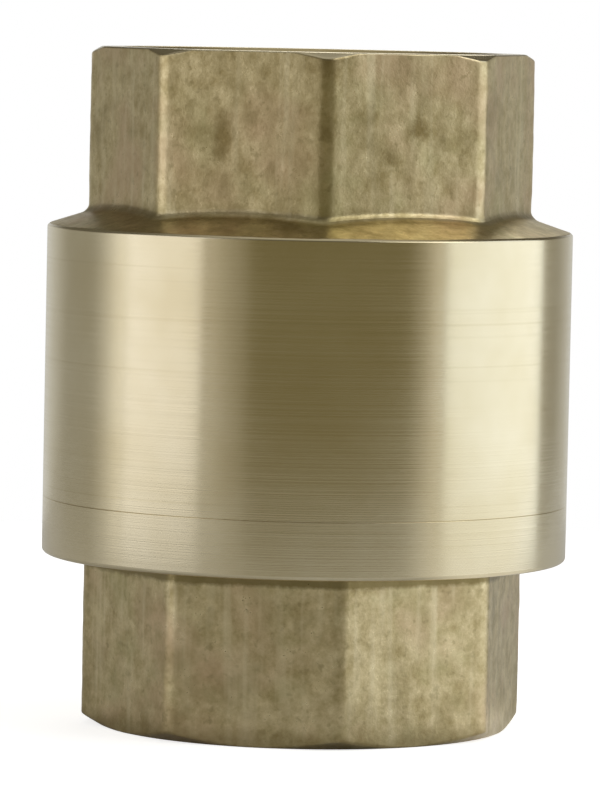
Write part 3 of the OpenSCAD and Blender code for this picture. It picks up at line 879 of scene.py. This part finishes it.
# Pipe threads: the ridges of the right-hand pipe thread that is cut in each socket, eleven to
# the inch with rounded crests. They stand on the socket's wall and run out at both ends.
PITCH = 25.4 / 11
THREAD_H = 1.48
ROOT_SINK = 0.05
THREAD_STEPS = 120
RUN_IN = 0.35


def thread_ridge(name, low_z, high_z, material):
    """One continuous ridge that winds up a socket's wall."""
    sections = [(-0.49, 0.0), (-0.30, 0.42), (-0.13, 0.86), (-0.05, 0.98), (0.05, 0.98), (0.13, 0.86), (0.30, 0.42), (0.49, 0.0)]
    turns = (high_z - low_z) / PITCH - 1
    steps = int(turns * THREAD_STEPS)
    points = []
    for i in range(steps + 1):
        turn = i * turns / steps
        angle = 2 * math.pi * turn
        growth = min(1, turn / RUN_IN, (turns - turn) / RUN_IN)
        growth = max(growth, 0.02)
        for along, height in sections:
            r = SOCKET_R + ROOT_SINK - (THREAD_H + ROOT_SINK) * height * growth
            z = low_z + PITCH * (turn + 0.5 + along)
            points.append((r * math.cos(angle), r * math.sin(angle), z))
    ridge = add_piece(name, points, tube_faces(steps + 1, len(sections)))
    ridge.data.materials.append(material)
    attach(ridge, "housing")
    return ridge


inlet_thread = thread_ridge(
    "inlet_thread", MOUTH_CHAMFER * 0.5, SOCKET_DEPTH + 0.6, brass_of_connector[BORED]
)
outlet_thread = thread_ridge(
    "outlet_thread", outlet_z - SOCKET_DEPTH - 0.6, outlet_z - MOUTH_CHAMFER * 0.5, brass_of_body[BORED]
)

# Stand: a plain white table top. It is bright to the eye and takes the valve's shadow. In reflections its
# front right part glows as painted light, standing in for light thrown back from the table.
TABLE_W = 0.56

table_mesh = bpy.data.meshes.new("table_top")
half = TABLE_W / 2
table_mesh.from_pydata(
    [(-half, -half, 0), (half, -half, 0), (half, half, 0), (-half, half, 0)], [], [(0, 1, 2, 3)]
)
table = bpy.data.objects.new("table_top", table_mesh)
bpy.context.scene.collection.objects.link(table)

white_top = Finish("white_top")
seen = white_top.add("LightPath", output="Is Camera Ray")
mirrored = white_top.add("LightPath", output="Is Glossy Ray")
through = white_top.add("LightPath", output="Is Transmission Ray")
outwards = white_top.add("VectorMath", {"operation": "NORMALIZE"}, {0: white_top.place()})
rightwards = white_top.add("SeparateXYZ", {}, {0: outwards}, output=0)
backwards = white_top.add("SeparateXYZ", {}, {0: outwards}, output=1)
# Painted light: the front right part of the top glows in reflections, though it is no lamp.
front_right = white_top.spread(0.97 * rightwards - 0.26 * backwards, 0.80, 0.97, 0.02, 0.42)
glow = 0.74 * seen + front_right * mirrored + 0.72 * through
plain_top = white_top.add("BsdfDiffuse", {}, {"Color": (0.8, 0.8, 0.8, 1)})
glow_colour = white_top.mixed(glow, (0, 0, 0, 1), (1, 1, 1, 1))
lit_top = white_top.add("Emission", {}, {"Color": glow_colour, "Strength": 1.0})
table_mesh.materials.append(white_top.ended(white_top.add("AddShader", {}, {0: plain_top, 1: lit_top})))

# Room: white to the eye on every side. In reflections it is dim and warm in front of the valve,
# pale behind it, where a white wall stands, dark above that wall and pale at the ceiling.
ROOM_FRONT = (0.205, 0.180, 0.098)
ROOM_SIDE = (0.36, 0.35, 0.31)
ROOM_BACK = (0.66, 0.66, 0.64)
ROOM_HIGH = (0.13, 0.118, 0.09)
ROOM_CEILING = (0.50, 0.49, 0.46)

room = Finish("room", bpy.data.worlds.new("room"))
direction = room.add("TexCoord", output="Generated")
backwards = room.add("SeparateXYZ", {}, {0: direction}, output=1)
around = room.mixed(room.spread(backwards, -0.35, 0.25), (*ROOM_FRONT, 1), (*ROOM_SIDE, 1))
around = room.mixed(room.spread(backwards, 0.70, 0.95), around, (*ROOM_BACK, 1))
upwards = room.add("SeparateXYZ", {}, {0: direction}, output=2)
around = room.mixed(room.spread(upwards, 0.12, 0.34), around, (*ROOM_HIGH, 1))
around = room.mixed(room.spread(upwards, 0.75, 0.97), around, (*ROOM_CEILING, 1))
shown = room.add("LightPath", output="Is Camera Ray") + room.add("LightPath", output="Is Transmission Ray")
around = room.mixed(shown, around, (1, 1, 1, 1))
sky = room.add("Background", {}, {"Color": around, "Strength": 1.0})
bpy.context.scene.world = room.ended(sky, "OutputWorld")

# Studio light: two tall soft boxes, one at each side of the valve, leave a dim band down its
# front, and a weak one stands high at the right.
VALVE_MIDDLE = Vector((0, 0, 0.045))


def soft_box(name, azimuth, elevation, distance, width, height, radiance, colour):
    """A rectangular lamp that faces the valve. Azimuth 0 is in front of it, positive to the right."""
    lamp = bpy.data.lights.new(name, "AREA")
    lamp.shape = "RECTANGLE"
    lamp.size = width
    lamp.size_y = height
    lamp.energy = radiance * math.pi * width * height
    lamp.color = colour
    a = math.radians(azimuth)
    e = math.radians(elevation)
    away = Vector((math.sin(a) * math.cos(e), -math.cos(a) * math.cos(e), math.sin(e)))
    holder = bpy.data.objects.new(name, lamp)
    holder.location = VALVE_MIDDLE + away * distance
    holder.rotation_euler = away.to_track_quat("Z", "Y").to_euler()
    bpy.context.scene.collection.objects.link(holder)
    return holder


soft_box("left_box", -69, 6, 0.75, 0.54, 1.2, 1.06, (0.89, 0.90, 1.0))
soft_box("right_box", 87, 6, 0.75, 0.88, 1.2, 1.26, (0.80, 0.87, 1.0))
soft_box("high_box", 58, 42, 0.90, 0.60, 0.50, 1.4, (1.0, 1.0, 0.98))
soft_box("back_box", 173, 38, 0.90, 0.34, 0.34, 2.8, (1.0, 0.98, 0.93))

# The light falls off softly past the edges of the tall boxes.
FALL_OFF_LEFT = ((-105, 0.10), (-100.5, 0.25), (-96, 0.48), (-91.5, 0.78), (-45, 0.40), (-40.5, 0.26), (-36, 0.18), (-31.5, 0.12))
FALL_OFF_RIGHT = ((44, 0.11), (48.5, 0.26), (53, 0.56))
for strip_azimuth, strip_radiance in FALL_OFF_LEFT + FALL_OFF_RIGHT:
    strip_name = f"fall_off_{strip_azimuth:+.0f}"
    soft_box(strip_name, strip_azimuth, 4, 0.80, 0.064, 1.0, strip_radiance, (0.98, 0.97, 1.0))

# Camera: a long lens in front of the valve, a little above it and looking slightly down,
# rolled by about a degree as the picture is.
FRAME_W = 600
FRAME_H = 789
FOCAL_PX = 5600.0
SENSOR = 36.0
CAMERA_AZIMUTH = -3.5
CAMERA_DISTANCE = 0.748
CAMERA_ELEVATION = 4.0
CAMERA_ROLL = 1.2
AIM_Z = 0.045
AIM_X_PX = 306.8
AIM_Y_PX = 387.5

lens = bpy.data.cameras.new("camera")
lens.sensor_fit = "VERTICAL"
lens.sensor_height = SENSOR
lens.lens = SENSOR * FOCAL_PX / FRAME_H
camera = bpy.data.objects.new("camera", lens)
azimuth = math.radians(CAMERA_AZIMUTH)
elevation = math.radians(CAMERA_ELEVATION)
back = Vector((
    math.sin(azimuth) * math.cos(elevation),
    -math.cos(azimuth) * math.cos(elevation),
    math.sin(elevation),
))
right = Vector((math.cos(azimuth), math.sin(azimuth), 0))
up = back.cross(right)
pixel = CAMERA_DISTANCE / FOCAL_PX
sideways = (AIM_X_PX - FRAME_W / 2) * pixel
upwards = (FRAME_H / 2 - AIM_Y_PX) * pixel
aim = Vector((0, 0, AIM_Z)) - right * sideways - up * upwards
camera.location = aim + back * CAMERA_DISTANCE
turn = back.to_track_quat("Z", "Y").to_matrix().to_4x4()
camera.rotation_euler = turn.to_euler()
camera.rotation_euler.rotate_axis("Z", math.radians(CAMERA_ROLL))
bpy.context.scene.collection.objects.link(camera)
bpy.context.scene.camera = camera
bpy.context.scene.view_settings.view_transform = "Standard"
